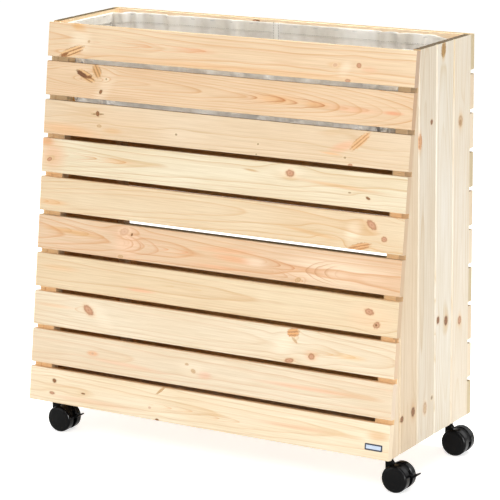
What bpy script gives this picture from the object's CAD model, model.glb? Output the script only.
# %% [markdown]
# # A rolling planter of planed pine
#
# The wooden body, the casters and everything that moves are already solid models, packed as a
# frame. This script gives them their looks: one wood finish for each board, the moulded and plated
# parts, the loosely hung liner and the small pieces on it. All lengths are in metres, in the frame
# that the solids use: X along the width, -Y to the front, Z up from the floor.

# %% Load the frame
import math
import random

import bmesh
import bpy
from mathutils import Matrix, Vector


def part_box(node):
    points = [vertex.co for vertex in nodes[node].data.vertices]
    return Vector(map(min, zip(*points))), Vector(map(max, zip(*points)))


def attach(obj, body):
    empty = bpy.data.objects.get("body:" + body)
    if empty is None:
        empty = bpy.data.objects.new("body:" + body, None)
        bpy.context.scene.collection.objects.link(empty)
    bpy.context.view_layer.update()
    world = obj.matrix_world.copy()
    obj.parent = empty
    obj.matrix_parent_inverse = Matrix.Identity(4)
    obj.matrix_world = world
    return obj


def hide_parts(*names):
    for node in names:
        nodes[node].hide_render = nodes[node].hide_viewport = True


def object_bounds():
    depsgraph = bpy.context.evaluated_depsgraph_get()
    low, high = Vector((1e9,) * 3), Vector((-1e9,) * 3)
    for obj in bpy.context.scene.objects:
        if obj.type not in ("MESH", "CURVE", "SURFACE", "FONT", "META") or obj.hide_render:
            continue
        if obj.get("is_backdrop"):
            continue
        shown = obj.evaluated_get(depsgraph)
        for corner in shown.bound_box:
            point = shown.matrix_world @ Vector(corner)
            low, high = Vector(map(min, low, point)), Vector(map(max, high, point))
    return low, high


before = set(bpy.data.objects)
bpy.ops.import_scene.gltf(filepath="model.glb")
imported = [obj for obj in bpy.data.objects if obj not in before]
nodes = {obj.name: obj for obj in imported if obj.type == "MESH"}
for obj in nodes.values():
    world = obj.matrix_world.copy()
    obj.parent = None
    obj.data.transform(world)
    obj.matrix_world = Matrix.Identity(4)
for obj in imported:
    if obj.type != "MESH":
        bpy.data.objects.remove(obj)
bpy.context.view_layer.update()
MM = 0.001

# %% [markdown]
# ## Camera
#
# The picture is taken from the right and a little above, with a long lens from some five metres
# away, so the far edges of the slats hardly converge. A camera looks along its own -Z, so its
# three axes are built from the angles and written as the columns of a matrix.

# %% Camera
CAMERA_AT = Vector((2.909, -4.827, 1.849))
CAMERA_AZIMUTH, CAMERA_ELEVATION, CAMERA_ROLL = 31.15, 13.63, -0.61  # degrees
CAMERA_LENS = 174.23  # mm, on a sensor 36 mm wide


def camera_axes(azimuth, elevation, roll):
    """Columns: the camera's right, its up, and the direction from the object back to it."""
    a, e, r = (math.radians(v) for v in (azimuth, elevation, roll))
    back = Vector((math.sin(a) * math.cos(e), -math.cos(a) * math.cos(e), math.sin(e)))
    right = Vector((math.cos(a), math.sin(a), 0))
    up = back.cross(right)
    level = (right * math.cos(r) + up * math.sin(r), up * math.cos(r) - right * math.sin(r), back)
    return Matrix(level).transposed()


camera = bpy.data.objects.new("camera", bpy.data.cameras.new("camera"))
camera.data.lens = CAMERA_LENS
turn = camera_axes(CAMERA_AZIMUTH, CAMERA_ELEVATION, CAMERA_ROLL)
camera.matrix_world = Matrix.Translation(CAMERA_AT) @ turn.to_4x4()
bpy.context.collection.objects.link(camera)
bpy.context.scene.camera = camera
print("camera", [round(c, 3) for c in CAMERA_AT], "lens", CAMERA_LENS)

# %% [markdown]
# ## Helpers for materials
#
# Colours are written as sRGB hex values, as a paint chart gives them, and one function turns them
# to the linear values that shaders work in. Another adds a node, sets it, and links whatever
# arrives as a node or a socket. The rest are the handful of nodes that every material here is made
# of, so that each line of a material reads as one operation.


# %% Colours and nodes
def linear(hex_colour):
    """'#RRGGBB' in sRGB to a linear RGBA value."""
    shares = [int(hex_colour[i : i + 2], 16) / 255 for i in (1, 3, 5)]
    return (*(c / 12.92 if c <= 0.04045 else ((c + 0.055) / 1.055) ** 2.4 for c in shares), 1.0)


def add(tree, kind, inputs=None, **settings):
    """Adds a node. An input is a value, a hex colour, a socket, or a node's first output."""
    node = tree.nodes.new(kind)
    for name, value in settings.items():
        setattr(node, name, value)
    for key, value in (inputs or {}).items():
        if isinstance(value, bpy.types.Node):
            value = value.outputs[0]
        if isinstance(value, bpy.types.NodeSocket):
            tree.links.new(value, node.inputs[key])
        else:
            node.inputs[key].default_value = linear(value) if isinstance(value, str) else value
    return node


def calc(tree, operation, *values):
    return add(tree, "ShaderNodeMath", dict(enumerate(values)), operation=operation)


def calc_vector(tree, operation, *values):
    return add(tree, "ShaderNodeVectorMath", dict(enumerate(values)), operation=operation)


def parts(tree, vector):
    return add(tree, "ShaderNodeSeparateXYZ", {0: vector}).outputs


def remap(tree, value, start, end, low=0.0, high=1.0, curve="LINEAR"):
    """Turns the range from start to end into low to high, and holds it beyond them."""
    return add(tree, "ShaderNodeMapRange", {"Value": value, "From Min": start, "From Max": end,
                                            "To Min": low, "To Max": high},
               interpolation_type=curve)


def noise(tree, vector, detail, scale=1.0, **more):
    """A noise texture. With W it is four-dimensional, and each W gives another pattern."""
    return add(tree, "ShaderNodeTexNoise",
               {"Vector": vector, "Scale": scale, "Detail": detail, **more},
               noise_dimensions="4D" if "W" in more else "3D")


def ramp(tree, factor, stops):
    """A Color Ramp. A stop is its place, a hex colour or a grey from 0 to 1, and its alpha."""
    node = add(tree, "ShaderNodeValToRGB", {"Fac": factor})
    elements = node.color_ramp.elements
    while len(elements) < len(stops):
        elements.new(1.0)
    for element, (place, colour, *alpha) in zip(elements, stops):
        rgb = linear(colour)[:3] if isinstance(colour, str) else (colour,) * 3
        element.position = place
        element.color = (*rgb, *(alpha or [1.0]))
    return node


def mix(tree, factor, below, above, blend="MIX"):
    """Lays one colour over another."""
    return add(tree, "ShaderNodeMix", {0: factor, 6: below, 7: above}, data_type="RGBA",
               blend_type=blend).outputs[2]


def new_material(name):
    """An empty material, its node tree, and the outputs of its texture coordinates."""
    material = bpy.data.materials.new(name)
    material.use_nodes = True
    material.node_tree.nodes.clear()
    return material, material.node_tree, add(material.node_tree, "ShaderNodeTexCoord").outputs


def finish_with(tree, inputs):
    """Ends a material with a Principled surface."""
    surface = add(tree, "ShaderNodeBsdfPrincipled", inputs)
    add(tree, "ShaderNodeOutputMaterial", {"Surface": surface})


def speckled(name, per_metre, roughness, tints, bump=None, extra=None):
    """A finish whose tint and gloss vary together in fine specks, which may stand 0.05 mm proud."""
    material, tree, coordinates = new_material(name)
    specks = noise(tree, coordinates["Object"], 4.0, per_metre)
    inputs = {"Base Color": ramp(tree, specks, tints),
              "Roughness": remap(tree, specks, 0.3, 0.7, *roughness), **(extra or {})}
    if bump:
        inputs["Normal"] = add(tree, "ShaderNodeBump", {"Height": specks, "Strength": bump,
                                                        "Distance": 0.05 * MM})
    finish_with(tree, inputs)
    return material


def node_group(name, kind, inputs, outputs):
    tree = bpy.data.node_groups.new(name, kind)
    for way, sockets in (("INPUT", inputs), ("OUTPUT", outputs)):
        for label, socket in sockets.items():
            tree.interface.new_socket(label, in_out=way, socket_type="NodeSocket" + socket)
    return tree, add(tree, "NodeGroupInput").outputs


print("helpers ready, mid grey is", [round(c, 3) for c in linear("#808080")])

# %% [markdown]
# ## Floor and light
#
# A product shot on white. The floor is a diffuse plane, so it takes a soft shadow, and for rays
# that the camera or a glossy surface sends it gives off a little light of its own, which lifts
# the open floor to plain white without adding light to the wood. The world is white to those
# rays and a dimmer, even white to all others. The key is a large soft box at the camera's side,
# half way between the front and the right wall, so both get the same light and the front-facing
# bevels of the V joints, which look straight at it, come out brightest. It stands low, for the
# boards are as bright near the floor as at the top. A high one reaches over the front wall into
# the tub, and one behind and above the planter lights the tub's front wall from inside, so that
# the fleece glows a little through the gaps. Weaker ones fill from the right and the front left,
# and two more light the back and the left side for anyone who walks round. The last, a narrow
# strip, is seen by glossy surfaces only and draws a crescent on the caster discs.

# %% Floor and light
HALF_FLOOR = 30.0   # m
WORLD_LIGHT = 0.46  # what the world gives the object, where 1 is white
FLOOR_LIFT = 0.66   # what the floor adds for the camera's eye
LAMPS = {  # place and size in m, power in W, and the place that it looks at
    "key": ((2.9, -3.3, 0.65), (2.2, 1.1), 31, (0, 0, 0.2)),
    "high": ((1.6, -4.6, 4.0), (2.0, 2.0), 112, (0, 0, 0.8)),
    "right": ((3.6, -0.9, 0.9), (1.0, 1.6), 13, (0.4, -0.1, 0.4)),
    "over_the_tub": ((-0.1, 0.7, 2.7), (1.4, 0.7), 84, (-0.1, 0.0, 0.95)),
    "fill_front_left": ((-2.6, -3.6, 0.65), (2.2, 1.1), 21, (0, 0, 0.2)),
    "fill_back": ((1.4, 4.2, 1.6), (2.6, 1.8), 24, (0, 0, 0.5)),
    "fill_left": ((-4.0, 0.8, 1.4), (2.2, 1.8), 34, (0, 0, 0.5)),
    "glint": ((2.9, -2.2, 1.1), (0.4, 2.2), 260, (0.4, -0.1, 0.3)),
}


def seen_directly(tree):
    """1 for camera, glossy and transmission rays, 0 for diffuse light."""
    ray = add(tree, "ShaderNodeLightPath").outputs
    some = calc(tree, "MAXIMUM", ray["Is Camera Ray"], ray["Is Glossy Ray"])
    return calc(tree, "MAXIMUM", some, ray["Is Transmission Ray"])


floor_mesh = bpy.data.meshes.new("floor")
floor_mesh.from_pydata([(x * HALF_FLOOR, y * HALF_FLOOR, 0)
                        for x, y in ((-1, -1), (1, -1), (1, 1), (-1, 1))], [], [(0, 1, 2, 3)])
floor = bpy.data.objects.new("floor", floor_mesh)
bpy.context.collection.objects.link(floor)
floor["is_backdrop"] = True
material, tree, _ = new_material("matt white studio floor")
lift = calc(tree, "MULTIPLY", seen_directly(tree), FLOOR_LIFT)
surface = add(tree, "ShaderNodeBsdfDiffuse", {"Color": "#EDEDEB"})
glow = add(tree, "ShaderNodeEmission", {"Color": "#FFFFFF", "Strength": lift})
both = add(tree, "ShaderNodeAddShader", {0: surface, 1: glow})
add(tree, "ShaderNodeOutputMaterial", {"Surface": both})
floor_mesh.materials.append(material)

world = bpy.data.worlds.new("white studio")
bpy.context.scene.world = world
world.use_nodes = True
tree = world.node_tree
tree.nodes.clear()
level = remap(tree, seen_directly(tree), 0.0, 1.0, WORLD_LIGHT, 1.0)
back = add(tree, "ShaderNodeBackground", {"Color": "#FFFFFF", "Strength": level})
add(tree, "ShaderNodeOutputWorld", {"Surface": back})

for name, (place, size, watts, target) in LAMPS.items():
    lamp = bpy.data.lights.new(name, "AREA")
    lamp.shape, lamp.size, lamp.size_y, lamp.energy = "RECTANGLE", *size, watts
    box = bpy.data.objects.new(name, lamp)
    box.location = place
    box.rotation_euler = (Vector(target) - Vector(place)).to_track_quat("-Z", "Y").to_euler()
    box.visible_diffuse = name != "glint"
    bpy.context.collection.objects.link(box)
bpy.context.scene.view_settings.view_transform = "Standard"
print("world light", WORLD_LIGHT, "and", len(LAMPS), "soft boxes")

# %% [markdown]
# ## Pine, from the log outwards
#
# A board shows whatever the saw met in the log. So the pattern is not painted on a face: it is a
# solid field of growth rings round the pith, and the board's faces, long edges and ends all cut
# the same field. Each board has its own frame in millimetres: along its length, across its width,
# and out of its face. The pith runs along the board at a depth below the face, and both its depth
# and its place across the width may change from end to end. Where it sinks away from the face, the
# rings surface as nested pointed arches, which is the flat-sawn figure of pine.

# %% Growth rings
BOARD_LENGTH = 1000.0  # mm, over which the pith's path is described
HALF_THICK = 9.0       # mm, from the middle of a board to its face
HALF = (0.5, 0.5, 0.5)  # taken off a noise's colour, it leaves a vector round zero


def stretched(tree, vector, *per_unit):
    return calc_vector(tree, "MULTIPLY", vector, per_unit)


def growth_rings():
    """Late wood, from 0 in the pale spring wood to 1 in the dark autumn line of a ring."""
    tree, given = node_group(
        "growth rings of a pine stem", "ShaderNodeTree",
        {"Point": "Vector", "Across": "Vector", "Depth": "Vector", "Spacing": "Float",
         "Wobble": "Float", "Swirl": "Float", "Seed": "Float"},
        {"Late wood": "Float", "Drift": "Float"})
    place = parts(tree, given["Point"])
    # slow wandering of the pith, a few times along the board
    wander = noise(tree, stretched(tree, given["Point"], 0.0034, 0.011, 0.011), 2.0,
                   W=given["Seed"])
    wander = calc_vector(tree, "SUBTRACT", wander.outputs["Color"], HALF)
    wander = add(tree, "ShaderNodeVectorMath", {0: wander, "Scale": given["Wobble"]},
                 operation="SCALE")
    drift = parts(tree, wander)
    along = calc(tree, "DIVIDE", place["X"], BOARD_LENGTH / 2)

    def path(coefficients):
        """a + b t + c t^2 along the board."""
        part = parts(tree, coefficients)
        bent = calc(tree, "MULTIPLY_ADD", part["Z"], along, part["Y"])
        return calc(tree, "MULTIPLY_ADD", bent, along, part["X"])

    across = calc(tree, "SUBTRACT", place["Y"], path(given["Across"]))
    across = calc(tree, "ADD", across, drift["X"])
    below = calc(tree, "ADD", place["Z"], path(given["Depth"]))
    below = calc(tree, "ADD", below, drift["Y"])
    below = calc(tree, "SUBTRACT", below, HALF_THICK)
    radius = calc_vector(tree, "LENGTH", add(tree, "ShaderNodeCombineXYZ", {0: across, 1: below}))
    years = calc(tree, "DIVIDE", radius.outputs["Value"], given["Spacing"])
    years = calc(tree, "ADD", years, given["Swirl"])
    # the colour deepens slowly through the summer and breaks off sharply in the winter
    late = ramp(tree, calc(tree, "FRACT", years),
                [(0.0, 0), (0.52, 0.06), (0.78, 0.36), (0.91, 1), (0.99, 0)])
    luck = add(tree, "ShaderNodeTexWhiteNoise",
               {"W": calc(tree, "ADD", given["Seed"], calc(tree, "FLOOR", years))},
               noise_dimensions="1D")
    late = calc(tree, "MULTIPLY", late, remap(tree, luck, 0.0, 1.0, 0.34, 1.0))
    add(tree, "NodeGroupOutput", {"Late wood": late, "Drift": drift["Z"]})
    return tree


RINGS = growth_rings()
print(len(RINGS.nodes), "nodes make the growth rings")

# %% [markdown]
# ## Knots, spikes and stains
#
# The grain parts before a branch and closes behind it, so round each knot the field is drawn apart
# into an eye. Where a branch ends just below the face, the rings rise over it in a closed swirl.
# The knot itself is an ellipse with a dark rim and a reddish core. Where the saw ran along the
# branch instead of across it, the knot is a spike with lines down its length. Resin and heartwood
# leave soft warm stains. Each of these starts with an oval: its place along and across the board,
# its half length and half width, all in millimetres, and how far it is turned, in degrees. What
# it does to the wood begins outside and is full near its middle, and each layer below gives both
# distances, where 1 is the oval's rim.

# %% Knot colours
KNOTS = {  # distance from the middle (0.5 is the rim): colour, cover
    "red": [(0.00, "#B98262", 1.0), (0.20, "#CB9C7A", 0.95), (0.34, "#BC8662", 0.95),
            (0.46, "#A9714C", 0.85), (0.62, "#E0BA90", 0.45), (0.98, "#F3DCBA", 0.0)],
    "pink": [(0.00, "#CB9C7E", 0.9), (0.25, "#D8B090", 0.7), (0.42, "#CFA181", 0.75),
             (0.52, "#D2A787", 0.60), (0.66, "#EBCDAA", 0.35), (0.95, "#F5E2C6", 0.0)],
    "dark": [(0.00, "#7A4A26", 1.0), (0.24, "#9C6C42", 1.0), (0.40, "#70421E", 1.0),
             (0.50, "#7A4E28", 0.85), (0.64, "#CBA273", 0.45), (0.95, "#E8CDA2", 0.0)],
    "pin": [(0.00, "#8F7450", 0.9), (0.30, "#9A7C56", 0.8), (0.45, "#AE9068", 0.6),
            (0.60, "#D8BD92", 0.35), (0.75, "#F1DFC0", 0.35), (0.95, "#F5E6CB", 0.0)],
    "tan": [(0.00, "#B98E62", 0.9), (0.25, "#CEA97C", 0.7), (0.42, "#BC9062", 0.75),
            (0.52, "#B88B5C", 0.6), (0.65, "#E0BF92", 0.35), (0.95, "#EFD6B0", 0.0)],
}
ANY_DEPTH = 1e6  # mm, so that an oval reaches through the whole board
SWIRL_FROM, EYE_REACH = 1.7, (1.9, 0.2)


def oval_frame(tree, point, oval, grow=1.0):
    """A point in an oval's own frame, and its distance from the middle, which is 1 at the rim."""
    along, across, half_long, half_wide, turned = oval
    local = add(tree, "ShaderNodeMapping",
                {"Vector": point, "Location": (along, across, 0),
                 "Rotation": (0, 0, math.radians(turned)),
                 "Scale": (half_long * grow, half_wide * grow, ANY_DEPTH)},
                vector_type="TEXTURE")
    return local, calc_vector(tree, "LENGTH", local).outputs["Value"]


def ring_rise(tree, point, swirls):
    """How many rings the field rises where a branch ends just below the face."""
    total = 0.0
    for *oval, rise in swirls:
        _, away = oval_frame(tree, point, oval)
        lifted = remap(tree, away, SWIRL_FROM, 0.0, 0.0, rise, "SMOOTHERSTEP")
        total = calc(tree, "ADD", total, lifted)
    return total


def flow_round(tree, point, eyes):
    """Moves the field's points so that the grain parts before an eye and closes behind it."""
    moved = point
    for *oval, most in eyes:
        _, away = oval_frame(tree, point, oval)
        grip = remap(tree, away, *EYE_REACH, 0.0, most, "SMOOTHERSTEP")
        off = calc_vector(tree, "SUBTRACT", (*oval[:2], 0), point)
        off = stretched(tree, off, 0.0, 1.0, 0.0)
        off = add(tree, "ShaderNodeVectorMath", {0: off, "Scale": grip}, operation="SCALE")
        moved = calc_vector(tree, "ADD", moved, off)
    return moved


print("knot kinds:", ", ".join(KNOTS))

# %% [markdown]
# Some arches stand out from the rest, because a strong late-wood band surfaces there. Such a group
# is drawn where it lies: nested parabolas with their tip at a place on the board, each band soft on
# its inner side and sharp on its outer one, fading out towards the open end.


# %% Arches
def nested_arches():
    tree, given = node_group("nested arches of late wood", "ShaderNodeTree",
                             {"Local": "Vector", "Count": "Float"}, {"Band": "Float"})
    part = parts(tree, given["Local"])
    inward = calc(tree, "MULTIPLY_ADD", part["Y"], part["Y"], part["X"])
    phase = calc(tree, "FRACT", calc(tree, "MULTIPLY", inward, given["Count"]))
    band = ramp(tree, phase, [(0.0, 0), (0.62, 0.08), (0.86, 0.6), (0.93, 1), (1.0, 0.1)])
    band = calc(tree, "MULTIPLY", band, remap(tree, inward, 0.0, -0.02))
    open_end = remap(tree, part["X"], -1.35, -0.55, curve="SMOOTHSTEP")
    add(tree, "NodeGroupOutput", {"Band": calc(tree, "MULTIPLY", band, open_end)})
    return tree


ARCHES = nested_arches()
print(len(ARCHES.nodes), "nodes make the arches")

# %% [markdown]
# ## One board's finish
#
# The order follows the real surface: the pale wood, its stains, the late-wood lines, the fibres,
# then spikes and knots over them. Each layer is a function that takes the colour below it and
# returns what shows after it.

# %% Layers of the finish
STAIN_REACH, SPIKE_REACH = (1.35, 0.25), (1.25, 0.80)
KNOT_SIZE = 0.85       # of the oval, for a knot's rim swells with its roughness
FACING = (0.90, 0.98)  # cosines between which a face begins to count as turned to a side


def stained(tree, point, colour, stains):
    """A stain is an oval, its colour, and its cover in the middle."""
    for *oval, tint, most in stains:
        _, away = oval_frame(tree, point, oval)
        cover = remap(tree, away, *STAIN_REACH, 0.0, most, "SMOOTHSTEP")
        colour = mix(tree, cover, colour, tint)
    return colour


def arched(tree, point, colour, arches):
    """A group of arches is an oval, the number of bands, their colour and their cover."""
    waver = noise(tree, point, 2.0, 0.03)
    waver = calc_vector(tree, "SUBTRACT", waver.outputs["Color"], HALF)
    point = calc_vector(tree, "MULTIPLY_ADD", waver, (14.0, 7.0, 0.0), point)
    for *oval, count, tint, most in arches:
        local, _ = oval_frame(tree, point, oval)
        band = add(tree, "ShaderNodeGroup", {"Local": local, "Count": count}, node_tree=ARCHES)
        colour = mix(tree, calc(tree, "MULTIPLY", band, most), colour, tint)
    return colour


def fibres(tree, point, seed):
    """Fibres 0.7 mm wide and some 60 mm long, in bundles 3 mm wide, and the shade they give."""
    fibre = noise(tree, stretched(tree, point, 0.016, 1.4, 1.4), 3.0)
    bundle = noise(tree, stretched(tree, point, 0.006, 0.33, 0.33), 2.0, W=seed)
    shade = remap(tree, calc(tree, "ADD", fibre, bundle), 0.7, 1.3, 0.85, 1.07)
    # red changes less than green, and blue more, so the darker fibres are the warmer ones
    return fibre, add(tree, "ShaderNodeCombineColor", {0: calc(tree, "POWER", shade, 0.75),
                                                       1: shade,
                                                       2: calc(tree, "POWER", shade, 1.5)})


def spiked(tree, point, colour, spikes, rough):
    """A spike is an oval and the two colours of its lines."""
    for *oval, light, dark in spikes:
        local, away = oval_frame(tree, point, oval)
        away = calc(tree, "MULTIPLY_ADD", rough, 0.9, away)
        side = calc(tree, "MULTIPLY_ADD", rough, 0.5, parts(tree, local)["Y"])
        lines = calc(tree, "SINE", calc(tree, "MULTIPLY", side, 8.0))
        branch = mix(tree, remap(tree, lines, -0.3, 0.7), light, dark)
        cover = remap(tree, away, *SPIKE_REACH, 0.0, 0.92, "SMOOTHSTEP")
        colour = mix(tree, cover, colour, branch)
    return colour


def knotted(tree, point, colour, knots, rough):
    """A knot is an oval and its kind. Knots of one kind share a ramp."""
    for kind, stops in KNOTS.items():
        ovals = [oval for *oval, own in knots if own == kind]
        nearest = 1e3
        for oval in ovals:
            _, away = oval_frame(tree, point, oval, KNOT_SIZE)
            nearest = calc(tree, "MINIMUM", nearest, away)
        if ovals:
            away = calc(tree, "MULTIPLY_ADD", rough, 0.7, nearest)
            tints = ramp(tree, calc(tree, "MULTIPLY", away, 0.5), stops)
            colour = mix(tree, tints.outputs["Alpha"], colour, tints)
    return colour


def sided(tree, point, normal, colour, sides):
    """A side is where it faces, its colour and cover, and the height that the colour ends at."""
    shine = 0.35
    for axis, tint, most, planed_from in sides:
        facing = calc_vector(tree, "DOT_PRODUCT", normal, axis).outputs["Value"]
        cover = remap(tree, facing, *FACING, 0.0, most)
        if planed_from:
            lower = remap(tree, parts(tree, point)["X"], planed_from - 10, planed_from, 1.0, 0.0)
            cover = calc(tree, "MULTIPLY", cover, lower)
        colour = mix(tree, cover, colour, tint)
        shine = calc(tree, "MULTIPLY", shine, remap(tree, facing, *FACING, 1.0, 0.05))
    return colour, shine


print("five layers, and the sides")

# %% [markdown]
# Long edges were sawn and only lightly planed, and the ends soak up light, so both are darker than
# the faces. A face that nobody sees may be left rough from the saw, which is darker still. Planed
# bare wood is matt, with no varnish to shine, and its rings stand a tenth of a millimetre proud,
# which is all that the bump does.

# %% Planed pine
WOBBLE = 9.0  # mm, how far the pith wanders


def curve_through(left, middle, right):
    """Coefficients of a + b t + c t^2 through three values at t = -1, 0 and 1."""
    return (middle, (right - left) / 2, (right + left) / 2 - middle)


def board_axes(along, face):
    """Euler angles of a frame whose X runs along the board and whose Z leaves its face."""
    along, face = Vector(along), Vector(face)
    return Matrix((along, face.cross(along), face)).transposed().to_euler()


def planed_pine(name, centre, along, face, seed, base, late, across, depth, spacing,
                strength=0.9, edge="#D8B68C", ends="#BF9B74", inner=None, planed_from=None,
                bevel=None, knots=(), spikes=(), stains=(), swirls=(), eyes=(), arches=()):
    """across and depth: the pith in mm at the board's start, middle and end. spacing: mm a ring."""
    material, tree, coordinates = new_material(name)
    point = add(tree, "ShaderNodeMapping",
                {"Vector": coordinates["Object"], "Location": centre,
                 "Rotation": board_axes(along, face), "Scale": (MM, MM, MM)},
                vector_type="TEXTURE")
    # the larger a knot, the wider and the further the grain parts round it
    own_eyes = [(*spot[:2], 20 + 2.4 * spot[2], 7 + 1.5 * spot[3], 0, min(0.85, 0.09 * spot[2]))
                for spot in (*knots, *spikes)]
    rings = add(tree, "ShaderNodeGroup",
                {"Point": flow_round(tree, point, [*eyes, *own_eyes]),
                 "Across": curve_through(*across), "Depth": curve_through(*depth),
                 "Spacing": spacing, "Wobble": WOBBLE, "Seed": seed * 7.31,
                 "Swirl": ring_rise(tree, point, swirls)}, node_tree=RINGS).outputs
    fibre, shade = fibres(tree, point, seed)
    rough = calc(tree, "SUBTRACT", noise(tree, point, 3.0, 0.23), 0.5)
    tone = remap(tree, rings["Drift"], -WOBBLE * 0.2, WOBBLE * 0.2, 0.0, 0.30)
    colour = stained(tree, point, mix(tree, tone, base, late), stains)
    colour = mix(tree, calc(tree, "MULTIPLY", rings["Late wood"], strength), colour, late)
    colour = arched(tree, point, colour, arches)
    colour = mix(tree, 1.0, colour, shade, "MULTIPLY")
    colour = spiked(tree, point, colour, spikes, rough)
    colour = knotted(tree, point, colour, knots, rough)
    along, face = Vector(along), Vector(face)
    width_way = face.cross(along)
    sides = [(width_way, edge, 0.85, None), (-width_way, edge, 0.85, None),
             (along, ends, 0.95, None), (-along, ends, 0.95, None)]
    if inner:
        sides.append((-face, inner, 0.8, planed_from))
    if bevel:
        sides.append(((face + width_way * bevel).normalized(), "#FFF6E2", 0.9, None))
    colour, shine = sided(tree, point, coordinates["Normal"], colour, sides)
    bump = add(tree, "ShaderNodeBump", {"Height": calc(tree, "ADD", fibre, rings["Late wood"]),
                                        "Strength": 0.22, "Distance": 0.1 * MM})
    finish_with(tree, {"Base Color": colour, "Roughness": remap(tree, fibre, 0.0, 1.0, 0.52, 0.66),
                       "Normal": bump, "Specular IOR Level": shine})
    return material


def dress(node_name, material):
    """Gives a solid of the frame its finish."""
    mesh = nodes[node_name].data
    mesh.materials.clear()
    mesh.materials.append(material)


def middle_of(node_name):
    low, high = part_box(node_name)
    return (Vector(low) + Vector(high)) / 2


def dress_board(node_name, kind, along, face, seed, **figure):
    """Dresses a board in a piece of wood of its own, named after it."""
    name = f"{kind}, {node_name.replace('_', ' ')}"
    dress(node_name, planed_pine(name, middle_of(node_name), along, face, seed, **figure))


print("fibres, pores and a bump of 0.1 mm")

# %% [markdown]
# ## The raking front
#
# The ten front slats are what the eye reads first, so each has its own figure. The way the front
# leans is measured on the frame, from the middle of the lowest slat to the middle of the topmost.

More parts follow.
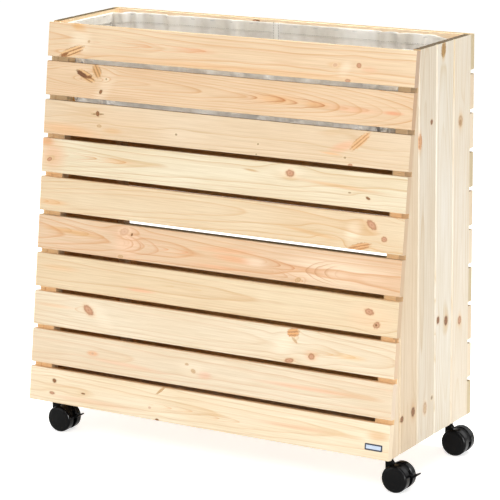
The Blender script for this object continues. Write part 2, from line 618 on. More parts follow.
# %% Front slats
SLATS = 10
up_slope = (middle_of("front_slat_1") - middle_of("front_slat_10")).normalized()
FRONT = up_slope.cross(Vector((1, 0, 0))) * -1  # out of the front face
WARM, AMBER, SALMON, PALE = "#E6B37C", "#DDA764", "#EBAF88", "#F6E6CC"
front_boards = {
    1: dict(base="#EAD4B4", late="#D9A878", across=(4, -2, -2), depth=(40, 50, 50), spacing=6.0,
            knots=[(-381, 1, 4, 3, 20, "tan"), (357, -2, 7, 6, 0, "red"),
                   (331, -38, 8, 4, 0, "red"), (296, -5, 6, 4, 20, "pink")],
            spikes=[(-430, -27, 36, 10, 21, "#E6BC86", "#A66D3A"),
                    (-450, -36, 12, 3, 24, "#94602F", "#7A4820")],
            arches=[(-44, 0, 300, 13, 0, 2, "#DE9F70", 0.75)],
            stains=[(-412, 34, 26, 13, -25, AMBER, 0.75), (-80, 0, 60, 7, 0, SALMON, 0.40),
                    (60, -34, 420, 9, 0, WARM, 0.45), (296, -5, 22, 8, 0, AMBER, 0.35),
                    (-405, 0, 34, 30, 60, PALE, 0.6), (322, -12, 22, 14, 50, PALE, 0.5),
                    (384, -10, 22, 8, 0, SALMON, 0.35)]),
    2: dict(base="#E6CBA9", late="#D09A66", across=(10, 0, -6), depth=(22, 24, 58), spacing=4.6,
            knots=[(-339, -23, 6, 4, 60, "dark"), (-325, 9, 3, 3, 0, "pin")],
            spikes=[(-384, 12, 27, 10, -24, "#DDB27A", "#A87340"),
                    (-396, 15, 17, 5, -24, "#6E3C1A", "#4E2810"),
                    (-374, 10, 8, 4, 10, "#7C4A22", "#8A5A30"),
                    (-353, 26, 17, 11, -60, "#D3A36B", "#A97A48")],
            arches=[(174, -2, 110, 13, 0, 1.5, "#BE7840", 0.95),
                    (280, -5, 110, 14, 0, 1.5, "#C07C46", 0.95),
                    (340, -6, 90, 9, 0, 1, "#D09058", 0.4),
                    (396, -8, 105, 11, 0, 1, "#CC8A55", 0.4)],
            stains=[(150, -1, 70, 12, 0, WARM, 0.6), (255, -4, 40, 9, 0, WARM, 0.6),
                    (452, -8, 26, 5, 0, "#E59A70", 0.75), (350, -8, 70, 8, 0, SALMON, 0.4),
                    (-330, -15, 60, 20, 60, PALE, 0.4)]),
    3: dict(base="#E6D1B4", late="#D2AE80", across=(20, 25, 30), depth=(62, 66, 60), spacing=6.5,
            strength=0.75,
            knots=[(-344, 18, 5, 7, 15, "dark"), (-338, -11, 7, 4, 0, "tan"),
                   (-118, -12, 4, 3, 0, "pin"), (107, -14, 3, 3, 0, "pin"),
                   (104, -38, 3, 2, 0, "pin"), (337, -24, 4, 3, 0, "pin"),
                   (352, -40, 6, 4, 0, "red")],
            spikes=[(-344, 17, 17, 2, 4, "#A9824F", "#7C5528"),
                    (373, 16, 30, 9, 42, "#E0B280", "#C08A56")],
            eyes=[(-118, -12, 40, 12, 0, 0.7)],
            stains=[(-430, -30, 110, 18, -4, "#E9B888", 0.7), (330, 0, 40, 12, 20, SALMON, 0.55),
                    (300, -18, 30, 3, -3, WARM, 0.6), (-300, -20, 30, 8, 0, AMBER, 0.4),
                    (-320, 0, 170, 44, 0, AMBER, 0.16)]),
    4: dict(base="#EBDFC4", late="#D0AA74", across=(0, 6, 22), depth=(42, 50, 52), spacing=6.0,
            knots=[(197, 21, 12, 9, 0, "red"), (403, -16, 6, 3, -20, "dark"),
                   (355, -8, 5, 2, 0, "pin"), (-478, -10, 8, 5, 30, "red")],
            eyes=[(197, 19, 74, 19, 0, 0.9)], swirls=[(-474, -5, 26, 16, 20, 0.9)],
            strength=0.7, arches=[(-250, 3, 170, 11, 0, 2, "#D49E66", 0.9)],
            stains=[(-470, 0, 40, 40, 0, "#E8B68F", 0.65), (-490, 34, 24, 14, 0, "#E29B62", 0.7),
                    (-275, 3, 55, 7, 0, WARM, 0.45), (197, 21, 34, 15, 0, PALE, 0.7),
                    (330, 4, 120, 5, -3, "#E3B07A", 0.55), (93, 18, 22, 3, -4, "#C79A60", 0.7)]),
    5: dict(base="#E6D2B2", late="#D6AC7A", across=(-20, 10, 0), depth=(44, 49, 56), spacing=5.6,
            knots=[(417, 19, 16, 9, -35, "red"), (451, -10, 8, 7, 0, "red")],
            spikes=[(389, -34, 29, 8, 16, "#D9A672", "#B87F4C")],
            eyes=[(384, -4, 40, 26, 20, 0.6)], swirls=[(300, -14, 52, 18, -12, 0.8)],
            arches=[(-438, -20, 70, 9, 0, 2, "#D9A068", 0.7)],
            stains=[(-462, -20, 46, 8, 0, WARM, 0.6), (372, 2, 26, 20, 50, PALE, 0.85),
                    (260, -15, 90, 5, -6, AMBER, 0.45)]),
    6: dict(base="#E3C9AA", late="#D0925C", across=(5, -6, -14), depth=(44, 62, 66), spacing=6.2,
            strength=0.7,
            knots=[(-248, 25, 14, 9, 20, "pink"), (-226, 20, 4, 3, 60, "dark"),
                   (-255, -36, 8, 4, 0, "tan"), (236, -34, 9, 5, 30, "tan")],
            eyes=[(-246, 14, 46, 22, 0, 0.55)],
            swirls=[(240, -36, 24, 12, 30, 0.6)],
            arches=[(-62, -6, 110, 10, -2, 2, "#DA9A6C", 0.8),
                    (-196, -6, 46, 22, -4, 2, "#CF9468", 0.8),
                    (-146, -8, 84, 28, -4, 2, "#D29A6E", 0.7),
                    (-300, 4, 150, 20, -3, 3, "#D09A62", 0.6),
                    (226, -9, 74, 13, -4, 2, "#C98550", 0.8),
                    (250, -36, 80, 13, -8, 2, "#CC8C5A", 0.6),
                    (252, -10, -78, 30, 2, 3, "#C28A5C", 0.75)],
            stains=[(-240, 0, 40, 42, 0, "#F3CDAE", 0.6), (-400, 8, 90, 7, -3, AMBER, 0.6),
                    (60, -6, 60, 9, -2, "#EBB08A", 0.7), (40, 12, 90, 8, 2, SALMON, 0.5),
                    (120, -6, 34, 10, 0, "#F9E3CC", 0.6), (20, -30, 80, 5, 0, SALMON, 0.5),
                    (340, -4, 150, 36, 0, "#FBE4C8", 0.6), (0, 0, 150, 40, 0, AMBER, 0.15)]),
    7: dict(base="#E8D4B3", late="#D6B286", across=(6, 0, 10), depth=(52, 56, 60), spacing=5.8,
            knots=[(426, 10, 13, 8, -10, "red"), (447, -18, 10, 8, 30, "red"),
                   (446, -18, 3, 3, 0, "dark")],
            arches=[(-20, 4, 150, 10, 0, 2, "#E0C093", 0.6)],
            stains=[(-193, -16, 46, 6, 0, SALMON, 0.65), (430, -4, 60, 30, 0, "#F4CFAA", 0.5),
                    (-430, 10, 60, 8, 0, WARM, 0.35)]),
    8: dict(base="#EDDFC6", late="#D8B487", across=(6, 2, -6), depth=(48, 46, 60), spacing=5.6,
            knots=[(-339, 11, 18, 10, -32, "red"), (285, -18, 9, 8, 0, "red"),
                   (227, -35, 13, 6, 10, "red"), (238, 14, 10, 3, -40, "tan")],
            spikes=[(233, 31, 16, 10, 10, "#DDA468", "#B97C48")],
            eyes=[(-322, 6, 52, 18, -10, 0.8), (212, 2, 34, 24, 20, 0.7)],
            arches=[(403, -6, 120, 11, 0, 2, "#DDB27C", 0.7),
                    (-380, 10, -60, 14, 0, 2, "#D9AC78", 0.6)],
            stains=[(210, 2, 34, 22, 30, PALE, 0.85), (-300, -2, 50, 20, -40, PALE, 0.5),
                    (385, -6, 44, 7, 0, "#EFC791", 0.6), (285, -16, 20, 12, 0, SALMON, 0.5),
                    (-440, 10, 60, 5, 0, WARM, 0.4)]),
    9: dict(base="#EADAC0", late="#DDB68A", across=(0, 4, 2), depth=(50, 56, 60), spacing=6.0,
            strength=0.8,
            knots=[(-31, -2, 7, 5, -20, "tan"), (-50, 12, 5, 3, 0, "tan"), (-320, 1, 4, 3, 0, "pink")],
            stains=[(-320, 1, 18, 7, 0, "#E9A36E", 0.7), (0, -8, 22, 10, 0, "#EDB49A", 0.6),
                    (287, 1, 150, 6, 0, "#EDBB95", 0.7), (-220, -14, 120, 6, -2, SALMON, 0.35),
                    (-35, 2, 40, 22, 0, PALE, 0.45)]),
    10: dict(base="#F9EBD1", late="#DEB781", across=(-6, -2, 0), depth=(42, 49, 57), spacing=5.6,
             strength=0.62,
             knots=[(-428, 13, 5, 6, 70, "dark"), (-433, -18, 8, 4, 0, "red"),
                    (-341, -7, 6, 2, 0, "dark"), (-147, -13, 4, 3, 0, "pink"),
                    (-124, -39, 5, 3, 0, "dark")],
             spikes=[(-118, 33, 15, 3, 40, "#DDB27B", "#A97C4E")],
             arches=[(-25, -5, 110, 9, 0, 2, "#E5B47C", 0.7),
                     (110, -10, 110, 9, 0, 2, "#E5B47C", 0.7)],
             stains=[(254, 1, 110, 6, 0, "#ECBB90", 0.6), (470, 12, 30, 12, 0, AMBER, 0.5),
                     (-400, 4, 60, 3, 0, WARM, 0.4), (-300, -24, 150, 8, 0, SALMON, 0.3)]),
}
SLAT_ENDS = {1: "#C9AE97", 2: "#CDAC8E", 8: "#E5C9AB", 9: "#EEDAC3", 10: "#F9E6CA"}
SLAT_EDGES = {1: "#6A5A3A", 2: "#82613E", 3: "#82613E", 6: "#CDB894"}  # seen against the light
for number, figure in front_boards.items():
    dress_board(f"front_slat_{number}", "planed pine", (1, 0, 0), FRONT, number,
                edge=SLAT_EDGES.get(number, "#F0CCA0"), ends=SLAT_ENDS.get(number, "#D8BD9F"),
                **figure)
print("front leans back", round(math.degrees(math.asin(up_slope.y)), 2), "degrees")

# %% [markdown]
# ## The right wall
#
# Tongue-and-groove boards stand upright in the side walls. The ones on the right are seen, so
# their knots are placed; along the board is up here, and across it is to the front.

# %% Right wall boards
RIGHT, LEFT = Vector((1, 0, 0)), Vector((-1, 0, 0))
BACK, UP = Vector((0, 1, 0)), Vector((0, 0, 1))
BOARD_ENDS = "#3E3018"  # upright ends drink up dirt and light
FRONT_BEVEL = -1        # on the right, the bevels whose normal points to the front
right_boards = {
    1: dict(base="#F0E5D5", late="#DFC8A2", across=(10, 0, -12), depth=(46, 60, 52), spacing=5.2,
            knots=[(265, 4, 14, 11, 0, "tan"), (262, 5, 6, 6, 0, "dark"),
                   (-214, -1, 11, 9, 0, "red")],
            stains=[(265, 4, 30, 12, 0, "#E3C79C", 0.5), (-214, -1, 26, 9, 0, "#E8CFA6", 0.5)]),
    2: dict(base="#EFE7DA", late="#DCC9A8", across=(-20, -4, 8), depth=(60, 50, 66), spacing=5.6,
            knots=[(-187, 25, 9, 7, 0, "dark"), (-198, -16, 12, 9, 0, "dark")],
            spikes=[(444, 8, 17, 11, -12, "#B98F4C", "#94692C")],
            stains=[(440, 6, 26, 10, -8, "#D9B472", 0.7), (-198, -16, 34, 10, 0, "#E3C08E", 0.6)]),
    3: dict(base="#E6DBCA", late="#D2BA96", across=(14, 20, 2), depth=(52, 44, 58), spacing=5.0,
            knots=[(287, -22, 6, 6, 0, "dark"),
                   (-383, 2, 15, 9, 0, "tan"), (-367, -33, 6, 6, 0, "pin")],
            spikes=[(250, 34, 17, 9, 0, "#DDA878", "#B87C4C")],
            stains=[(250, 34, 30, 8, 0, "#E6BE90", 0.7)]),
    4: dict(base="#E4D0B6", late="#D8BE98", across=(-8, 6, 12), depth=(58, 66, 48), spacing=5.8,
            knots=[(-357, 30, 8, 8, 0, "dark"), (-354, -25, 12, 9, 0, "dark")],
            stains=[(-350, -25, 30, 14, 0, "#D2AC80", 0.6)]),
    5: dict(base="#F1DEC4", late="#DDBE95", across=(0, 8, 0), depth=(54, 50, 60), spacing=5.0,
            edge="#FFDDAC"),
}
for number, figure in right_boards.items():
    dress_board(f"right_board_{number}", "planed pine", UP, RIGHT, 20 + number, ends=BOARD_ENDS,
                bevel=FRONT_BEVEL, **figure)
print(len(right_boards), "boards on the right")

# %% [markdown]
# ## Every other board
#
# The rest of the wood is cut from the same kind of log. Its figure is drawn by lot with a fixed
# seed: where the pith ran, how wide the rings are, and whether a knot or two landed in it.


# %% Drawn boards
def drawn_figure(seed, length, width, knots_per_metre=4.0):
    lot = random.Random(seed)
    figure = dict(
        base=lot.choice(["#F2DCB9", "#F3DEC0", "#EFD9B8", "#F2D6AF"]),
        late=lot.choice(["#DDB587", "#D9AE7C", "#DFBB90"]),
        across=tuple(lot.uniform(-14, 14) for _ in range(3)),
        depth=tuple(lot.uniform(38, 68) for _ in range(3)),
        spacing=lot.uniform(4.6, 6.4), strength=lot.uniform(0.65, 0.95), knots=[])
    for _ in range(round(knots_per_metre * length / 1000)):
        place = lot.uniform(-0.46, 0.46) * length, lot.uniform(-0.42, 0.42) * width
        size = lot.uniform(3.5, 10)
        figure["knots"].append((*place, size, size * lot.uniform(0.6, 0.9), lot.uniform(-40, 40),
                                lot.choice(["red", "dark", "tan", "tan"])))
    return figure


BACK_ENDS = ["#F2E2CA", "#D6C4A2", "#EAD6BA"]
ROUGH_SAWN = "#F0B468"  # inner faces that the liner or the floor hides
PLANED_FROM = 380       # mm above a wall board's middle, where its inner face begins to show
SLAT_SIZE, WALL_BOARD_SIZE, BATTEN_SIZE = (1000, 83), (900, 87), (400, 28)  # mm
for number in range(1, SLATS + 1):
    figure = drawn_figure(100 + number, *SLAT_SIZE)
    figure |= {"ends": BACK_ENDS[number % 3], "edge": "#7E6A42"}
    if number > 2:
        figure["inner"] = ROUGH_SAWN
    if number == 1:
        figure["knots"] = [(79, 35, 11, 4, -4, "red"), (74, 35, 5, 3, 0, "dark"),
                           (-330, 10, 9, 6, 20, "red")]
    if number == 2:
        figure["knots"].append((-496, -5, 14, 9, 0, "tan"))
    dress_board(f"back_slat_{number}", "planed pine", LEFT, BACK, 40 + number, **figure)
for number in range(1, 6):
    figure = drawn_figure(200 + number, *WALL_BOARD_SIZE, 3)
    figure |= {"edge": "#FFDDAC", "base": "#E2CFAE"}
    dress_board(f"left_board_{number}", "planed pine", UP, LEFT, 60 + number, ends=BOARD_ENDS,
                inner=ROUGH_SAWN, planed_from=PLANED_FROM, **figure)
battens = {"front_left_post": (up_slope, LEFT), "front_right_post": (up_slope, RIGHT),
           "back_left_post": (UP, LEFT), "back_right_post": (UP, RIGHT),
           "left_base_rail": (BACK, LEFT), "right_base_rail": (BACK, RIGHT)}
for seed, (node_name, way) in enumerate(battens.items()):
    figure = drawn_figure(300 + seed, *BATTEN_SIZE, 0) | {"base": "#FFDFB2", "edge": "#FFDDAC"}
    dress_board(node_name, "sawn pine", *way, 70 + seed, **figure)


def loose_parts(mesh):
    """The faces of each separate solid in a mesh, and its box."""
    bm = bmesh.new()
    bm.from_mesh(mesh)
    waiting, found = set(bm.faces), []
    while waiting:
        part, front = set(), [waiting.pop()]
        while front:
            face = front.pop()
            part.add(face)
            near = {f for edge in face.edges for f in edge.link_faces} & waiting
            waiting -= near
            front.extend(near)
        corners = [v.co.copy() for face in part for v in face.verts]
        low, high = (Vector([pick(c[i] for c in corners) for i in range(3)]) for pick in (min, max))
        found.append(([f.index for f in part], low, high))
    bm.free()
    return found


def dress_by_part(node_name, name, seed):
    """Cuts each solid of a node from wood of its own, lengthways along its longest side."""
    mesh = nodes[node_name].data
    mesh.materials.clear()
    for index, (faces, low, high) in enumerate(loose_parts(mesh)):
        size = high - low
        along, face = (RIGHT, UP) if size.x > size.y else (BACK, UP)
        figure = drawn_figure(seed + index, max(size), min(size.x, size.y), 2)
        mesh.materials.append(planed_pine(f"{name} {index + 1}", (low + high) / 2, along, face,
                                          seed + index, **figure))
        for number in faces:
            mesh.polygons[number].material_index = index
    print(node_name, len(mesh.materials), "parts")


dress_by_part("shelf_boards", "planed pine, tub floor board", 400)
dress_by_part("tub_rails", "sawn pine, tub batten", 420)

# %% [markdown]
# ## Plated steel and moulded nylon
#
# Screws, nuts, stems and axles are steel with bright zinc, which is a metal with a cool grey face
# and a soft, slightly cloudy shine. The casters are black nylon from a mould: the discs come out
# of a polished half and gloss a little, the housings from a finely blasted one and gloss less.

# %% Steel and nylon
STEEL = speckled("bright zinc-plated steel", 260.0, (0.26, 0.44),
                 [(0.35, "#AEB3B5"), (0.65, "#C9CBC8")], extra={"Metallic": 1.0})
POLISHED = speckled("black nylon, polished mould", 1400.0, (0.16, 0.24),
                    [(0.3, "#09090A"), (0.7, "#0F0F10")], 0.03, {"Specular IOR Level": 0.09})
BLASTED = speckled("black nylon, blasted mould", 1400.0, (0.42, 0.55),
                   [(0.3, "#050506"), (0.7, "#09090A")], 0.4, {"Specular IOR Level": 0.06})
for node_name in ("wood_screws", "caster_nuts", "caster_stems"):
    dress(node_name, STEEL)
CASTER_FINISH = {"axle": STEEL, "housing": BLASTED, "wheel_a": POLISHED, "wheel_b": POLISHED,
                 "brake": BLASTED}
for place in ("front_left", "front_right", "rear_left", "rear_right"):
    for piece, material in CASTER_FINISH.items():
        if f"{place}_{piece}" in nodes:  # only the front casters have a brake
            dress(f"{place}_{piece}", material)
undressed = [name for name, o in nodes.items() if not o.data.materials]
print("still without a finish:", undressed)

# %% [markdown]
# ## The liner
#
# A fleece bag keeps the soil in. It is cut with some cloth to spare, dropped into the tub and
# stapled to the boards just under its rim. Nothing pulls it straight, so it hangs in slack
# upright folds between the staples and lies loose on the floor. Here it starts as a bag a little
# smaller than the room, with the gathered folds already in its back wall, and a cloth
# simulation lets it grow to its cut size, sink and settle against boards and posts.

# %% The room it hangs in
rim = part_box("liner")[1].z
floor_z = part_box("shelf_boards")[1].z
room_left, room_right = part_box("left_board_1")[1].x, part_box("right_board_1")[0].x
room_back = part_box("back_slat_1")[0].y
inner_front = middle_of("front_slat_1") - FRONT * HALF_THICK * MM
LEAN = up_slope.y / up_slope.z


def room_front(z):
    """Y of the raking wall's inner face at a height."""
    return inner_front.y + (z - inner_front.z) * LEAN


room_width, room_depth = room_right - room_left, room_back - room_front(rim)
print("room", round(room_width, 3), "wide, rim at", round(rim, 3), "depth there",
      round(room_depth, 3))

# %% [markdown]
# The bag is one grid folded up like a tray: its middle is the floor, and the walls stand on the
# floor's edge. Between its corners the outline steps into the room to pass round the posts, and
# the grid's columns crowd where it does. Where the cloth is gathered, the back wall bulges into
# the room by a centimetre.

# %% The bag before it settles
CELL = 0.0085        # m, a grid cell of the cloth
COLUMN, COLUMN_AT_POST = 0.0056, 0.0022  # m, the width of a grid column, and of one near a post
SLACK = 0.0034       # m, between the bag and the walls at the start
STEP = 0.006         # m, width over which the outline steps in at a post
GATHERS = {-0.44: 0.010, -0.345: 0.014, -0.33: 0.008, -0.157: 0.007, 0.255: 0.012,
           0.30: 0.014, 0.36: 0.006}  # m: place and height
GATHER_WIDTH = 0.009  # m
DIP, DIP_AT, DIP_WIDTH = 0.007, 0.418, 0.022  # m, how the rim sags at the right back corner
DIP_REACH = 0.2      # m, how far down the wall the sag is felt
HEM = 0.027          # m, width of the turned-down hem
HEM_LINE = 0.023     # m, from the rim down to the hem's stitches
RINGS_TO, BAG_BOTTOM = 0.014, 0.004  # m above the floor: where the even rings end, and the bag
drops = [0.0, 0.004, 0.009, 0.014, 0.019, HEM_LINE, HEM, 0.032]  # m, rings of points below the rim
while drops[-1] < rim - floor_z - RINGS_TO:
    drops.append(drops[-1] + CELL)
drops[-1] = rim - floor_z - BAG_BOTTOM
half_x = room_width / 2 - SLACK
posts = {}
for wall in ("front", "back"):
    low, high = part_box(f"{wall}_right_post")
    deep = high.y - room_front(high.z) if wall == "front" else high.y - low.y
    posts[wall] = half_x - (high.x - low.x) - SLACK, deep  # the place of its side, its depth
columns, reach = [], 0.0
while reach < half_x:
    columns.append(reach)
    near_post = any(side - 1.3 * STEP < reach < side + 0.2 * STEP for side, _ in posts.values())
    reach += COLUMN_AT_POST if near_post else COLUMN
columns = [-half_x] + [-x for x in columns[:0:-1]] + columns + [half_x]
rows = round((room_back - room_front(floor_z)) / CELL)


def step_in(x, wall):
    """How far the outline stands off a wall at x to pass the post."""
    side, deep = posts[wall]
    t = min(max((abs(x) - side + STEP) / STEP, 0.0), 1.0)
    return deep * t * t * (3 - 2 * t)


def bag_point(i, j, z):
    """Where a grid point of the bag is, at a height. Columns run along X and rows along Y."""
    x = columns[i]
    front = room_front(z) + SLACK + step_in(x, "front")
    back = room_back - SLACK - step_in(x, "back")
    y = front + (back - front) * j / rows
    x += (room_left + room_right) / 2
    if j == rows:
        y -= sum(rise * math.exp(-(((x - place) / GATHER_WIDTH) ** 2))
                 for place, rise in GATHERS.items())
        felt = max(0.0, 1 - (rim - z) / DIP_REACH)
        z -= DIP * math.exp(-(((x - DIP_AT) / DIP_WIDTH) ** 2)) * felt
    return x, y, z


def as_mesh(bm, name):
    mesh = bpy.data.meshes.new(name)
    bm.to_mesh(mesh)
    bm.free()
    return mesh


def linked(name, mesh):
    made = bpy.data.objects.new(name, mesh)
    bpy.context.collection.objects.link(made)
    return made


def build_bag():
    bm = bmesh.new()
    low = rim - drops[-1]
    last = len(columns) - 1
    grid = {(i, j): bm.verts.new(bag_point(i, j, low))
            for i in range(last + 1) for j in range(rows + 1)}
    for i in range(last):
        for j in range(rows):
            bm.faces.new([grid[key] for key in ((i, j), (i + 1, j), (i + 1, j + 1), (i, j + 1))])
    edge = ([(i, 0) for i in range(last)] + [(last, j) for j in range(rows)]
            + [(i, rows) for i in range(last, 0, -1)] + [(0, j) for j in range(rows, 0, -1)])
    ring = [grid[key] for key in edge]
    for drop in reversed(drops[:-1]):
        above = [bm.verts.new(bag_point(*key, rim - drop)) for key in edge]
        for k, _ in enumerate(edge):
            n = (k + 1) % len(edge)
            bm.faces.new((ring[k], above[k], above[n], ring[n]))
        ring = above
    bm.verts.index_update()
    rim_points = [v.index for v in ring]
    return as_mesh(bm, "liner"), rim_points


bag, rim_points = build_bag()
cloth = linked("liner_fleece", bag)
print("bag of", len(bag.vertices), "points,", len(rim_points), "on its rim")

# %% [markdown]
# The staples are some 6 cm apart, and the stiff double hem keeps the rim level between them, so
# the whole rim is held. To the simulation the boards, posts and shelf are plain blocks.

# %% Staples, and blocks for the walls
STAPLES, END_GAP = 16, 0.045  # on each long wall, and m from its corners
UNEVEN = 0.006                # m, how far a staple may be from its even place
BLOCK_OUT, BLOCK_DOWN = 0.03, 0.02  # m, how far the blocks stand out and up, and reach down
rng = random.Random(12)
y_rim = room_front(rim)
pitch = (room_width - 2 * END_GAP) / (STAPLES - 1)
staples = [(room_left + END_GAP + k * pitch + rng.uniform(-UNEVEN, UNEVEN), wall)
           for k in range(STAPLES) for wall in (y_rim, room_back)]
staples += [(wall, y_rim + share * room_depth) for share in (0.32, 0.72)
            for wall in (room_left, room_right)]


def nearest_on_rim(x, y):
    return min(rim_points, key=lambda n: math.hypot(bag.vertices[n].co.x - x,
                                                    bag.vertices[n].co.y - y))


stapled = [nearest_on_rim(*place) for place in staples]


def wall_blocks():
    """Each block is a rectangle (x0, x1, y0, y1), from a height to another, and may lean."""
    bm = bmesh.new()

    def block(x0, x1, y0, y1, low, high, lean=0.0):
        corners = [(x0, y0), (x1, y0), (x1, y1), (x0, y1)]
        rings = [[bm.verts.new((x, y + lean * (z - low), z)) for x, y in corners]
                 for z in (low, high)]
        bm.faces.new(rings[0][::-1])
        bm.faces.new(rings[1])
        for k in range(4):
            n = (k + 1) % 4
            bm.faces.new((rings[0][k], rings[0][n], rings[1][n], rings[1][k]))

    out, low, high = BLOCK_OUT, floor_z - BLOCK_DOWN, rim + BLOCK_OUT
    left, right, front, back = room_left - out, room_right + out, room_front(low), room_back
    block(left, right, back, back + out, low, high)
    block(left, right, front - out, front, low, high, LEAN)
    block(left, room_left, front - out, back + out, low, high)
    block(room_right, right, front - out, back + out, low, high)
    block(left, right, front - out, back + out, floor_z - out, floor_z)
    for side in ("left", "right"):
        for post, lean in ((f"front_{side}_post", LEAN), (f"back_{side}_post", 0.0)):
            (x0, y0, _), (x1, y1, top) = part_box(post)
            if lean:
                y1 -= (top - low) * lean
                y0 = front
            block(x0, x1, y0, y1, low, top, lean)
    return linked("wall_blocks", as_mesh(bm, "wall_blocks"))


print(len(stapled), "staples")

# %% [markdown]
# The cloth is stiff against pulling and soft against bending, as felted fibre is, and it grows by
# a little under one per cent, which is the cloth to spare. Rough boards hold it by friction.

# %% Let it settle
FRAMES = 40
FLEECE_FEEL = {"quality": 6, "mass": 0.02, "tension_stiffness": 18.0,
               "compression_stiffness": 18.0, "shear_stiffness": 6.0, "bending_stiffness": 0.4,
               "air_damping": 2.0, "shrink_min": -0.009, "vertex_group_mass": "held"}


def keep_result(made):
    """Replaces an object's mesh by what its modifiers make of it."""
    evaluated = made.evaluated_get(bpy.context.evaluated_depsgraph_get())
    made.data = bpy.data.meshes.new_from_object(evaluated)
    made.modifiers.clear()


cloth.vertex_groups.new(name="held").add(rim_points, 1.0, "REPLACE")
blocks = wall_blocks()
blocks.modifiers.new("wall", "COLLISION")
blocks.collision.thickness_outer = 0.001
blocks.collision.cloth_friction = 8.0
physics = cloth.modifiers.new("cloth", "CLOTH")
for name, value in FLEECE_FEEL.items():
    setattr(physics.settings, name, value)
physics.collision_settings.distance_min = 0.0012
physics.point_cache.frame_end = FRAMES
for number in range(1, FRAMES + 1):
    bpy.context.scene.frame_set(number)
keep_result(cloth)
cloth.vertex_groups.clear()
bpy.data.objects.remove(blocks)
bpy.context.scene.frame_set(1)
shape = cloth.data
print("the cloth now spans", [round(max(v.co[k] for v in shape.vertices)
                                    - min(v.co[k] for v in shape.vertices), 4) for k in range(3)])

# %% [markdown]
# The bag is 1.2 mm thick. Its hem is turned down inside and sewn, which makes the top 27 mm two
# layers thick, and the ends of the strip overlap left of the middle of the back wall, where a
# lock stitch holds them. Both are cut out of the settled cloth and laid on it.

# %% Thickness, hem and seam
FLEECE_T = 0.0012        # m
SEAM = (-0.052, -0.031)  # m, from and to, along the back wall
HEM_LIFT, SEAM_LIFT = FLEECE_T * 1.15, FLEECE_T * 2.3  # a little more than the layers below
PER_RING = len(rim_points)
floor_points = len(columns) * (rows + 1)


def second_layer(name, wanted, lift):
    """A strip of the cloth, moved into the room by lift."""
    bm = bmesh.new()
    bm.from_mesh(shape)
    bm.faces.ensure_lookup_table()
    bm.normal_update()
    normals = [v.normal.copy() for v in bm.verts]
    for vertex, normal in zip(bm.verts, normals):
        vertex.co += normal * lift
    bmesh.ops.delete(bm, geom=[f for f in bm.faces if not wanted(f)], context="FACES")
    return linked(name, as_mesh(bm, name))


def ring_of(index):
    """How many rings of the walls a point is below the rim, or None for the floor."""
    return None if index < floor_points else len(drops) - 2 - (index - floor_points) // PER_RING


def in_hem(face):
    return all(ring_of(v.index) is not None and ring_of(v.index) <= drops.index(HEM)
               for v in face.verts)


def in_seam(face):
    middle = face.calc_center_median()
    return (SEAM[0] < middle.x < SEAM[1] and middle.y > 0
            and any(ring_of(v.index) is not None for v in face.verts))


hem = second_layer("liner_hem", in_hem, HEM_LIFT)
seam = second_layer("liner_seam", in_seam, SEAM_LIFT)
hem_start = floor_points + (len(drops) - 2 - drops.index(HEM_LINE)) * PER_RING
hem_line = [shape.vertices[hem_start + k].co.copy() for k in range(PER_RING)]
staple_spots = [(shape.vertices[n].co.copy(), shape.vertices[n].normal.copy()) for n in stapled]
for piece in (cloth, hem, seam):
    shell = piece.modifiers.new("thickness", "SOLIDIFY")
    shell.thickness, shell.offset = FLEECE_T, -1.0
    keep_result(piece)
    piece.data.shade_smooth()
print(len(hem.data.polygons), "faces in the hem,", len(seam.data.polygons), "in the seam")

# %% [markdown]
# Needle-punched polyester fleece is off-white and quite matt. Its fibres lie in every direction
# in little clouds, some thicker than others, so light comes through it unevenly, and it has a
# faint sheen at grazing angles like felt. It came folded in its package, which leaves soft upright
# creases: their crests are rubbed whiter, and they turn the light a little.


# %% Fleece
def fleece(name, pale, dim):
    material, tree, coordinates = new_material(name)
    place = coordinates["Object"]
    clouds = noise(tree, place, 5.0, 34.0, Roughness=0.62)
    fibre = noise(tree, place, 3.0, 420.0, Distortion=1.2)
    both = calc(tree, "MULTIPLY_ADD", fibre, 0.45, clouds)
    creases = noise(tree, stretched(tree, place, 20, 20, 1.6), 1.5)
    tint = mix(tree, ramp(tree, creases, [(0.50, 0), (0.66, 0.8)]),
               ramp(tree, both, [(0.50, dim), (0.90, pale)]), "#FFFEFB")
    fold = add(tree, "ShaderNodeBump", {"Height": creases, "Strength": 0.9, "Distance": 14 * MM})
    bump = add(tree, "ShaderNodeBump", {"Height": both, "Strength": 0.5, "Distance": 0.6 * MM,
                                        "Normal": fold})
    matt = add(tree, "ShaderNodeBsdfPrincipled",
               {"Base Color": tint, "Roughness": 0.92, "Normal": bump, "Sheen Weight": 0.25,
                "Specular IOR Level": 0.2})
    through = add(tree, "ShaderNodeBsdfTranslucent", {"Color": tint, "Normal": bump})
    surface = add(tree, "ShaderNodeMixShader", {0: 0.46, 1: matt, 2: through})
    add(tree, "ShaderNodeOutputMaterial", {"Surface": surface})
    return material


TWO_LAYERS = fleece("fleece, two layers", "#F6F3EC", "#E6E2DA")
cloth.data.materials.append(fleece("needle-punched polyester fleece", "#F6F3EE", "#E2DED7"))
hem.data.materials.append(TWO_LAYERS)
seam.data.materials.append(TWO_LAYERS)
print("creases 5 cm wide, clouds 3 cm and fibres 2.4 mm")

# %% [markdown]
# Stitches repeat along a line, so a Geometry Nodes tree lays them: it cuts a path to equal
# steps and sets a short rod of thread on each, turned along the path. The staples are rods too,
# each swept along its own short path. Thread and wire are thin, so six or eight sides do.


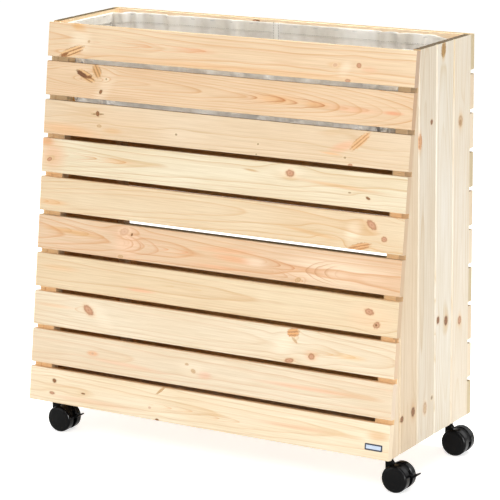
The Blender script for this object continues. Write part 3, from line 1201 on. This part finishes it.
# %% Trees for thread and wire
def rod_tree(name, stepped):
    tree, given = node_group(
        name, "GeometryNodeTree",
        {"Paths": "Geometry", "Step": "Float", "Rod length": "Float", "Radius": "Float",
         "Sides": "Int", "Material": "Material"}, {"Rods": "Geometry"})
    path = add(tree, "GeometryNodeMeshToCurve", {"Mesh": given["Paths"]})
    if stepped:
        path = add(tree, "GeometryNodeResampleCurve", {"Curve": path, "Length": given["Step"]},
                   mode="LENGTH")
        rod = add(tree, "GeometryNodeMeshCylinder",
                  {"Vertices": given["Sides"], "Radius": given["Radius"],
                   "Depth": given["Rod length"]})
        tangent = add(tree, "GeometryNodeInputTangent")
        turned = add(tree, "FunctionNodeAlignRotationToVector", {"Vector": tangent}, axis="Z")
        rods = add(tree, "GeometryNodeInstanceOnPoints",
                   {"Points": path, "Instance": rod, "Rotation": turned})
    else:
        circle = add(tree, "GeometryNodeCurvePrimitiveCircle",
                     {"Resolution": given["Sides"], "Radius": given["Radius"]})
        rods = add(tree, "GeometryNodeCurveToMesh",
                   {"Curve": path, "Profile Curve": circle, "Fill Caps": True})
    real = add(tree, "GeometryNodeRealizeInstances", {"Geometry": rods})
    dressed = add(tree, "GeometryNodeSetMaterial",
                  {"Geometry": real, "Material": given["Material"]})
    add(tree, "NodeGroupOutput", {"Rods": dressed})
    return tree


THREAD_TREE = rod_tree("stitches along a path", True)
WIRE_TREE = rod_tree("wire along a path", False)


def lay_rods(name, paths, tree, sizes, closed=False):
    """Sweeps or lays rods along paths, each a list of points, and returns a plain object."""
    points, edges = [], []
    for path in paths:
        start = len(points)
        points += path
        edges += [(start + k, start + k + 1) for k in range(len(path) - 1)]
        if closed:
            edges.append((start + len(path) - 1, start))
    mesh = bpy.data.meshes.new(name)
    mesh.from_pydata(points, edges, [])
    made = linked(name, mesh)
    modifier = made.modifiers.new("rods", "NODES")
    modifier.node_group = tree
    for item in tree.interface.items_tree:
        if item.in_out == "INPUT" and item.name in sizes:
            modifier[item.identifier] = sizes[item.name]
    keep_result(made)
    return made


print("thread tree", len(THREAD_TREE.nodes), "nodes, wire tree", len(WIRE_TREE.nodes))

# %% [markdown]
# The thread is grey polyester, and its stitches are 5 mm long with a small gap. The staples are
# galvanised wire, bent to a flat crown 10 mm wide with a short leg at each end that goes into
# the wood.

# %% Stitches and staples
THREAD = speckled("grey polyester thread", 900.0, (0.55, 0.8), [(0.3, "#8F8B80"), (0.7, "#A8A498")])
HEM_STITCH = {"Step": 0.0062, "Rod length": 0.0046, "Radius": 0.00035, "Sides": 6,
              "Material": THREAD}
SEAM_STITCH = HEM_STITCH | {"Rod length": 0.0042, "Radius": 0.0005}
WIRE = {"Sides": 8, "Radius": 0.0005, "Material": STEEL}
ON_HEM, ON_SEAM, ON_RIM = FLEECE_T * 1.3, FLEECE_T * 2.6, FLEECE_T * 1.9  # m off the cloth
SEAM_INSET = 0.004  # m, from an edge of the seam to its line of stitches
CROWN, LEG = 0.010, 0.002  # m, width of a staple's crown, and how deep its legs go
STAPLE_DROP = 0.006        # m, from the rim down to a staple
room_middle = Vector(((room_left + room_right) / 2, (room_back + y_rim) / 2, 0))


def toward_room(point, by):
    """A point moved level, straight off the nearest wall."""
    x, y = point.x - room_middle.x, point.y - room_middle.y
    if room_width - 2 * abs(x) < room_depth - 2 * abs(y):
        return point + Vector((-math.copysign(by, x), 0, 0))
    return point + Vector((0, -math.copysign(by, y), 0))


def seam_path(x):
    """A line down the cloth of the back wall at x, from the rim to just above the floor."""
    near, off_back, off_floor, apart = 0.0045, 0.03, 0.02, 0.0035  # m
    column = sorted((v.co for v in shape.vertices if abs(v.co.x - x) < near
                     and v.co.y > room_back - off_back and v.co.z > floor_z + off_floor),
                    key=lambda c: -c.z)
    path = []
    for co in column:
        if not path or path[-1].z - co.z > apart:
            path.append(Vector((x, co.y - ON_SEAM, co.z)))
    return path


def staple_path(place, normal):
    along = UP.cross(normal).normalized() * (CROWN / 2)
    off = normal * ON_RIM
    spot = place - UP * STAPLE_DROP
    return [spot - along - normal * LEG, spot - along + off, spot + along + off,
            spot + along - normal * LEG]


hem_stitches = lay_rods("hem_stitches", [[toward_room(point, ON_HEM) for point in hem_line]],
                        THREAD_TREE, HEM_STITCH, closed=True)
seam_paths = [seam_path(x) for x in (SEAM[0] + SEAM_INSET, SEAM[1] - SEAM_INSET)]
seam_stitches = lay_rods("seam_stitches", seam_paths, THREAD_TREE, SEAM_STITCH)
wire_paths = [staple_path(*spot) for spot in staple_spots]
wire_staples = lay_rods("staples", wire_paths, WIRE_TREE, WIRE)
print(len(wire_paths), "staples,", len(hem_stitches.data.polygons) // 8, "hem stitches")

# %% [markdown]
# The cloth now stands for the solid liner. Its flat size is the cut: the floor, the walls turned
# up on all sides, and the hem.

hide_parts("liner")
for piece in (cloth, hem, seam, hem_stitches, seam_stitches, wire_staples):
    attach(piece, "root")

# %% [markdown]
# ## The name plate
#
# A small plate of thin aluminium sits on the lowest slat, at its right end: a printed dark blue
# border round a bare silver field. It carries nothing else.

# %% Name plate
PLATE_W, PLATE_H, PLATE_T, BORDER = 0.045, 0.0155, 0.0008, 0.0034
PLATE_ROUND, FIELD_ROUND = 0.0022, 0.0010  # m, corner radii
BEVEL_FROM, TOP_W, TOP_H = 0.8, 0.994, 0.985  # shares of the thickness, the width and the height
PLATE_ALONG, PLATE_UP = 0.461, -0.015  # m, from the middle of the slat's face to its own


def rounded_corners(width, height, radius, steps=4):
    points = []
    for quarter, (sx, sy) in enumerate(((1, 1), (-1, 1), (-1, -1), (1, -1))):
        for k in range(steps + 1):
            angle = math.pi / 2 * (quarter + k / steps)
            points.append((sx * (width / 2 - radius) + radius * math.cos(angle),
                           sy * (height / 2 - radius) + radius * math.sin(angle)))
    return points


def name_plate():
    bm = bmesh.new()
    outer = rounded_corners(PLATE_W, PLATE_H, PLATE_ROUND)
    inner = rounded_corners(PLATE_W - 2 * BORDER, PLATE_H - 2 * BORDER, FIELD_ROUND)
    levels = [(outer, 0.0), (outer, PLATE_T * BEVEL_FROM),
              ([(x * TOP_W, y * TOP_H) for x, y in outer], PLATE_T), (inner, PLATE_T)]
    rings = [[bm.verts.new((x, y, z)) for x, y in points] for points, z in levels]
    bm.faces.new(rings[0][::-1])
    for low_ring, high_ring in zip(rings, rings[1:]):
        for k, _ in enumerate(low_ring):
            n = (k + 1) % len(low_ring)
            bm.faces.new((low_ring[k], low_ring[n], high_ring[n], high_ring[k]))
    field = bm.faces.new(rings[3])
    field.material_index = 1
    spot = middle_of("front_slat_10") + Vector((PLATE_ALONG, 0, 0)) + up_slope * PLATE_UP
    spot += FRONT * HALF_THICK * MM
    bm.transform(Matrix.Translation(spot) @ board_axes((1, 0, 0), FRONT).to_matrix().to_4x4())
    return linked("name_plate", as_mesh(bm, "name_plate"))


def brushed_aluminium():
    material, tree, coordinates = new_material("brushed aluminium")
    brush = noise(tree, stretched(tree, coordinates["Object"], 30.0, 5000.0, 5000.0), 2.0)
    finish_with(tree, {"Base Color": ramp(tree, brush, [(0.3, "#8E9CB0"), (0.7, "#BCC6D2")]),
                       "Metallic": 1.0, "Roughness": remap(tree, brush, 0.0, 1.0, 0.3, 0.5)})
    return material


plate = name_plate()
plate.data.materials.append(speckled("dark blue print on aluminium", 800.0, (0.28, 0.4),
                                     [(0.3, "#141C30"), (0.7, "#1B2640")]))
plate.data.materials.append(brushed_aluminium())
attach(plate, "root")
print("plate", PLATE_W / MM, "x", PLATE_H / MM, "mm")

# %% Finish
low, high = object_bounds()
print("box now", [round(c, 4) for c in (*low, *high)])
